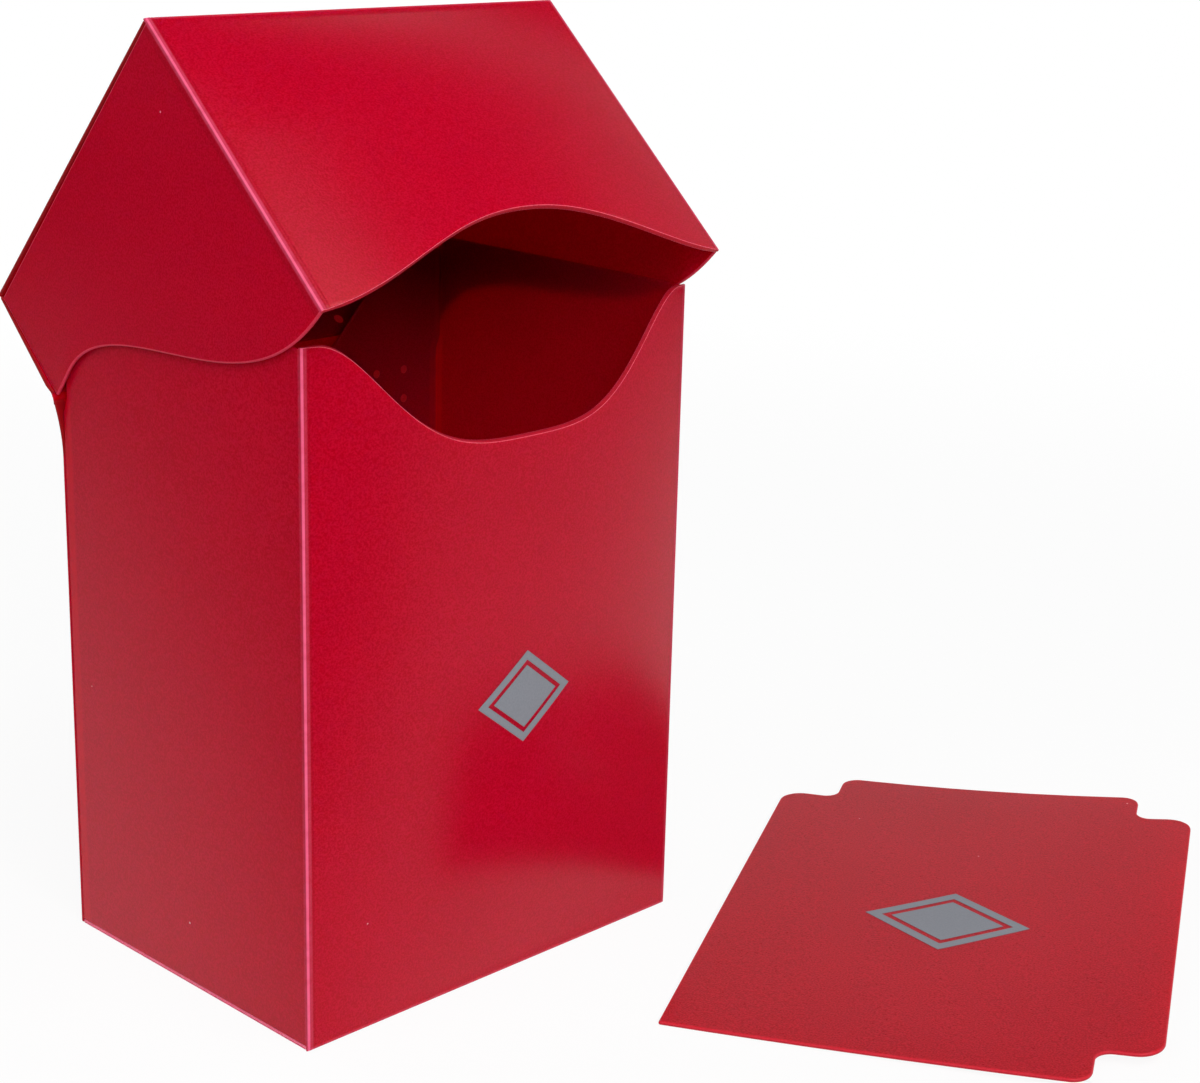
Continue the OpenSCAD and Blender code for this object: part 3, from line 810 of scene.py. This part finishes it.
for side in ("left", "right"):
    lid_side = flat_sheet("lid_" + side + "_side_panel", "lid_" + side + "_side", "lid", lid_side_material,
                          rim=lid_side_rim, is_seam=lid_side_seam, fold=lid_side_fold)
    for point in lid_side.data.vertices:
        held = to_lid @ point.co
        if held.z < HEEL_TOP and held.y > -HEEL_RUN:
            held.z -= HEEL_DROP * ease(1 + held.y / HEEL_RUN)
            point.co = LID_PLACE @ held

# The lid's welded flaps: tongues of its sides lie under the top and inside the back strip.
# The joining tongue comes from the top's rear crease, and ties the lid to the strip.
for node in ("lid_left_top_flap", "lid_right_top_flap", "lid_left_back_flap", "lid_right_back_flap",
             "lid_joining_flap"):
    flat_sheet(node, node.replace("_flap", "_tongue"), "lid", flap_material,
               edge=flap_material, rim=flap_material)

# The divider: a loose sheet with three notched corners that stands between two groups of cards.
# It is a duller cut of the same red sheet, and lies on the table with one long edge curled up.
DIVIDER_AT = Vector((64.4 * MM, -60.3 * MM, 0))
DIVIDER_TURN = Matrix.Rotation(math.radians(-61), 3, "Z")
DIVIDER_HALF = (34.2 * MM, 48.4 * MM)
DIVIDER_CURL = (1.5 * MM, 3.0 * MM)
CURL_STEPS = 10
DIVIDER_RED = (0.55, 0.011, 0.028, 1)
DIVIDER_DEEP_RED = (0.38, 0.003, 0.01, 1)
DIVIDER_ROUGHNESS = 0.3
DIVIDER_EDGE = (0.46, 0.01, 0.03, 1)
DIVIDER_DEEP_EDGE = (0.4, 0.008, 0.02, 1)
DIVIDER_RIM = (0.62, 0.022, 0.04, 1)
DIVIDER_DEEP_RIM = (0.55, 0.018, 0.035, 1)
DIVIDER_RIM_ROUGHNESS = 0.4


def curl(across, along):
    """Lift of the sheet off the table: its outer long edge has curled up, most at the far corner."""
    out = (across / DIVIDER_HALF[0] + 1) / 2
    far = (along / DIVIDER_HALF[1] + 1) / 2
    return out ** 2 * (DIVIDER_CURL[0] + DIVIDER_CURL[1] * far)


def curl_divider(piece):
    """Cuts the flat sheet into cells both ways and lifts them into the curl."""
    only(piece)
    bpy.ops.object.mode_set(mode="EDIT")
    for axis, half in zip((Vector((1, 0, 0)), Vector((0, 1, 0))), DIVIDER_HALF):
        for step in range(1, CURL_STEPS):
            bpy.ops.mesh.select_all(action="SELECT")
            cut = DIVIDER_AT + DIVIDER_TURN @ (axis * half * (2 * step / CURL_STEPS - 1))
            bpy.ops.mesh.bisect(plane_co=cut, plane_no=DIVIDER_TURN @ axis)
    bpy.ops.object.mode_set(mode="OBJECT")
    for point in piece.data.vertices:
        own = DIVIDER_TURN.transposed() @ (point.co - DIVIDER_AT)
        point.co.z += curl(own.x, own.y)


divider_material = sheet_material("divider sheet", light=DIVIDER_RED, dark=DIVIDER_DEEP_RED,
                                  roughness=DIVIDER_ROUGHNESS)
divider_edge = sheet_material("divider edge", light=DIVIDER_EDGE, dark=DIVIDER_DEEP_EDGE,
                              roughness=CUT_ROUGHNESS, glow=RIM_GLOW)
divider_rim = sheet_material("divider rim", light=DIVIDER_RIM, dark=DIVIDER_DEEP_RIM,
                             roughness=DIVIDER_RIM_ROUGHNESS, glow=RIM_GLOW)
flat_sheet("card_divider", "divider_sheet", "divider", divider_material,
           edge=divider_edge, rim=divider_rim, reshape=curl_divider)

# The printed mark on the divider: the same grey lozenge as on the front, printed larger.
# It lies off the middle of the sheet and follows its curl.
DIVIDER_MARK = Vector((0, -4.8 * MM, SHEET))
DIVIDER_MARK_HALF = (12.5 * MM, 10 * MM)


def on_divider(u, v):
    """A point of the mark, across and up from its middle, on the curled sheet."""
    own = DIVIDER_MARK + Vector((u, v, 0))
    own.z += curl(own.x, own.y)
    return DIVIDER_AT + DIVIDER_TURN @ own


divider_mark = printed_mark("divider_mark", *DIVIDER_MARK_HALF, on_divider)
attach(divider_mark, "divider")

# The table: white card under the object, lit so evenly that the camera sees it as plain white.
# Only a breath of shadow shows near the object. In the red sheet its mirror image is bright on the
# right and fades out towards the left, where the studio is dark.
TABLE_SIZE = 8
TABLE_DROP = 0.05 * MM
TABLE_MIDDLE = (0, 0, 0)
TABLE_WHITE = (0.9, 0.9, 0.9, 1)
TABLE_GREY = (0.25, 0.25, 0.25, 1)
TABLE_FADE = (0.5, 0.12)
SHADOW_SHARE = 0.08
MIRROR_WAY = (0.892, 0.451, 0)
MIRROR_EDGE = (-0.087, -0.021)
MIRROR_FADE = (0.75, 0.1)
bpy.ops.object.select_all(action="DESELECT")
bpy.ops.mesh.primitive_plane_add(size=TABLE_SIZE, location=(0, 0, -TABLE_DROP))
floor = bpy.context.object
floor.name = "floor"
floor_material = bpy.data.materials.new("white floor")
floor_material.use_nodes = True
floor_tree = floor_material.node_tree
floor_tree.nodes.clear()
floor_out = floor_tree.nodes.new("ShaderNodeOutputMaterial")
floor_matt = floor_tree.nodes.new("ShaderNodeBsdfDiffuse")
floor_glow = floor_tree.nodes.new("ShaderNodeEmission")
floor_mix = floor_tree.nodes.new("ShaderNodeMixShader")
floor_place = floor_tree.nodes.new("ShaderNodeTexCoord").outputs["Object"]
floor_ray = floor_tree.nodes.new("ShaderNodeLightPath").outputs
from_middle = vector_node(floor_tree, "DISTANCE", floor_place, TABLE_MIDDLE)
near_object = ramp_between(floor_tree, from_middle, *TABLE_FADE)
floor_colour = mix_colour(floor_tree, near_object, TABLE_GREY, TABLE_WHITE)
across_table = vector_node(floor_tree, "DOT_PRODUCT", floor_place, MIRROR_WAY)
lit_side = ramp_between(floor_tree, across_table, *MIRROR_EDGE)
mirrored = math_node(floor_tree, "MULTIPLY", lit_side, ramp_between(floor_tree, from_middle, *MIRROR_FADE))
whiteness = math_node(floor_tree, "MAXIMUM", floor_ray["Is Camera Ray"], mirrored)
in_sheet = math_node(floor_tree, "MAXIMUM", floor_ray["Is Glossy Ray"], floor_ray["Is Transmission Ray"])
seen = math_node(floor_tree, "MAXIMUM", floor_ray["Is Camera Ray"], in_sheet)
shadow = math_node(floor_tree, "MULTIPLY", near_object, SHADOW_SHARE)
white_share = math_node(floor_tree, "SUBTRACT", 1.0, shadow)
floor_tree.links.new(floor_colour, floor_matt.inputs["Color"])
floor_tree.links.new(whiteness, floor_glow.inputs["Strength"])
floor_tree.links.new(math_node(floor_tree, "MULTIPLY", seen, white_share), floor_mix.inputs["Fac"])
floor_tree.links.new(floor_matt.outputs["BSDF"], floor_mix.inputs[1])
floor_tree.links.new(floor_glow.outputs["Emission"], floor_mix.inputs[2])
floor_tree.links.new(floor_mix.outputs["Shader"], floor_out.inputs["Surface"])
floor.data.materials.append(floor_material)

# The light: five softboxes round the table, in a studio that is dark but for a low backdrop behind
# the object and a bright wall on the right. The camera sees plain white all round.
WHITE = (1, 1, 1, 1)
BACKDROP_DEPTH = (0.3, 0.6)
BACKDROP_HEIGHT = (0.5, 0.3)
BACKDROP_LEVEL = 0.45
WALL_WAY = (0.9, 0.4, 0)
WALL_EDGE = (0.5, 1.05)
WALL_LEVEL = 0.34
scene = bpy.context.scene
scene.view_settings.view_transform = "Standard"
world = bpy.data.worlds.new("studio")
scene.world = world
world.use_nodes = True
sky_tree = world.node_tree
sky_tree.nodes.clear()
sky_out = sky_tree.nodes.new("ShaderNodeOutputWorld")
sky_lit = sky_tree.nodes.new("ShaderNodeBackground")
sky_seen = sky_tree.nodes.new("ShaderNodeBackground")
sky_mix = sky_tree.nodes.new("ShaderNodeMixShader")
sky_lit.inputs["Color"].default_value = WHITE
sky_seen.inputs["Color"].default_value = WHITE
sky_ray = sky_tree.nodes.new("ShaderNodeLightPath").outputs
sky_place = sky_tree.nodes.new("ShaderNodeTexCoord").outputs["Generated"]
sky_axes = sky_tree.nodes.new("ShaderNodeSeparateXYZ")
sky_tree.links.new(sky_place, sky_axes.inputs["Vector"])
behind = ramp_between(sky_tree, sky_axes.outputs["Y"], *BACKDROP_DEPTH)
low = ramp_between(sky_tree, sky_axes.outputs["Z"], *BACKDROP_HEIGHT)
backdrop = math_node(sky_tree, "MULTIPLY", behind, low)
backdrop_light = math_node(sky_tree, "MULTIPLY", backdrop, BACKDROP_LEVEL)
to_wall = vector_node(sky_tree, "DOT_PRODUCT", sky_place, WALL_WAY)
wall_light = math_node(sky_tree, "MULTIPLY", ramp_between(sky_tree, to_wall, *WALL_EDGE), WALL_LEVEL)
sky_level = math_node(sky_tree, "ADD", backdrop_light, wall_light)
sky_tree.links.new(sky_level, sky_lit.inputs["Strength"])
sky_tree.links.new(sky_ray["Is Camera Ray"], sky_mix.inputs["Fac"])
sky_tree.links.new(sky_lit.outputs["Background"], sky_mix.inputs[1])
sky_tree.links.new(sky_seen.outputs["Background"], sky_mix.inputs[2])
sky_tree.links.new(sky_mix.outputs["Shader"], sky_out.inputs["Surface"])


def softbox(name, place, aim_height, size, watts):
    """A square softbox that looks at a point above the middle of the table."""
    data = bpy.data.lights.new(name, "AREA")
    data.shape = "SQUARE"
    data.size = size
    data.energy = watts
    lamp = bpy.data.objects.new(name, data)
    scene.collection.objects.link(lamp)
    lamp.location = place
    lamp.rotation_euler = (Vector((0, 0, aim_height)) - Vector(place)).to_track_quat("-Z", "Y").to_euler()


softbox("front_softbox", place=(-0.33, -0.68, 0.66), aim_height=0.06, size=0.7, watts=6.8)
softbox("left_softbox", place=(-1.05, 0.1, 0.8), aim_height=0.04, size=0.7, watts=3.6)
softbox("top_softbox", place=(0.12, -0.7, 1.3), aim_height=0.1, size=0.6, watts=4.8)
softbox("right_softbox", place=(1.2, -0.5, 0.5), aim_height=0.08, size=0.9, watts=3.5)
softbox("rear_softbox", place=(-0.15, 1.05, 0.7), aim_height=0.08, size=0.8, watts=3.4)

# The camera: it stands where the photographer stood, off the front's left edge and a little above
# the lid. Its place, turn and lens were fitted to the corners of the box in the photo.
CAMERA_AT = (-0.2157684, -0.2564817, 0.1598976)
CAMERA_TURN = Euler([math.radians(angle) for angle in (73.31673, -1.4428, -45.20782)])
CAMERA_LENS = 71.76
CAMERA_SENSOR = 36
camera_data = bpy.data.cameras.new("camera")
camera_data.sensor_width = CAMERA_SENSOR
camera_data.lens = CAMERA_LENS
camera = bpy.data.objects.new("camera", camera_data)
scene.collection.objects.link(camera)
camera.matrix_world = Matrix.LocRotScale(CAMERA_AT, CAMERA_TURN, None)
scene.camera = camera
